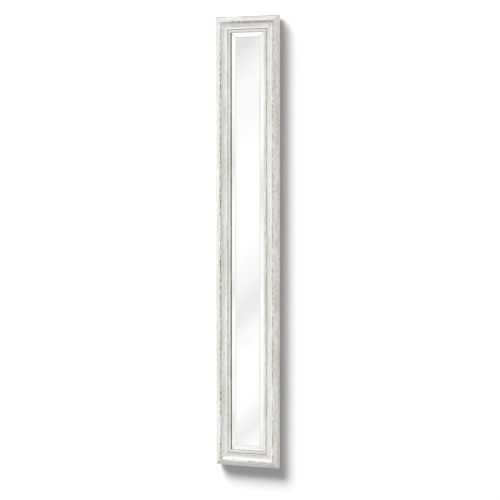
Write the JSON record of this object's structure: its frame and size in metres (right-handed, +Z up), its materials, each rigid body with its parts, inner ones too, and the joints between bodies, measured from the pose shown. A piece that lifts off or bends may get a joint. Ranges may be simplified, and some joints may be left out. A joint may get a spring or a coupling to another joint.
{
  "type": "narrow framed wall mirror",
  "caption": "Tall narrow wall mirror: bevelled glass in a mitred, distressed white wood moulding, with a papered back, D-ring hangers and rubber wall bumpers.",
  "frame": {"origin": "centre of the width and height, on the wall plane that the four bumpers touch", "axes": "+X along the width, to the right of a person facing the mirror; +Z up the height; +Y into the wall, so the mirror faces -Y"},
  "size_m": [0.2286, 0.0292, 1.524],
  "materials": {
    "painted_wood": "satin",
    "float_glass": "polished",
    "mirror_silver": "polished",
    "hardboard": "matte",
    "kraft_paper": "matte",
    "cork": "matte",
    "nail_steel": "satin",
    "zinc_screw": "satin",
    "zinc_strap": "satin",
    "nickel_wire": "gloss",
    "bumper_rubber": "matte"
  },
  "bodies": {
    "frame": {"left_stile": "painted_wood", "right_stile": "painted_wood", "top_rail": "painted_wood", "bottom_rail": "painted_wood", "mirror_glass": "float_glass", "silvering": "mirror_silver", "backing_board": "hardboard", "dust_cover": "kraft_paper", "setting_blocks": "cork", "top_spacers": "cork", "side_spacers_left": "cork", "side_spacers_right": "cork", "v_nails_top_left": "nail_steel", "bumper_top_left": "bumper_rubber", "v_nails_top_right": "nail_steel", "bumper_top_right": "bumper_rubber", "v_nails_bottom_left": "nail_steel", "bumper_bottom_left": "bumper_rubber", "v_nails_bottom_right": "nail_steel", "bumper_bottom_right": "bumper_rubber", "framer_points_left": "nail_steel", "framer_points_right": "nail_steel", "framer_points_top": "nail_steel", "framer_points_bottom": "nail_steel", "hanger_screws_left": "zinc_screw", "strap_hanger_left": "zinc_strap", "hanger_screws_right": "zinc_screw", "strap_hanger_right": "zinc_strap"},
    "ring_left": {"d_ring_left": "nickel_wire"},
    "ring_right": {"d_ring_right": "nickel_wire"}
  },
  "joints": [
    {"name": "ring_left_swing", "type": "hinge", "parent": "frame", "child": "ring_left", "pos_m": [-0.0908, -0.00342, 0.508], "axis": [-1, 0, 0], "range_deg": [0, 175]},
    {"name": "ring_right_swing", "type": "hinge", "parent": "frame", "child": "ring_right", "pos_m": [0.0908, -0.00342, 0.508], "axis": [-1, 0, 0], "range_deg": [0, 175]}
  ]
}
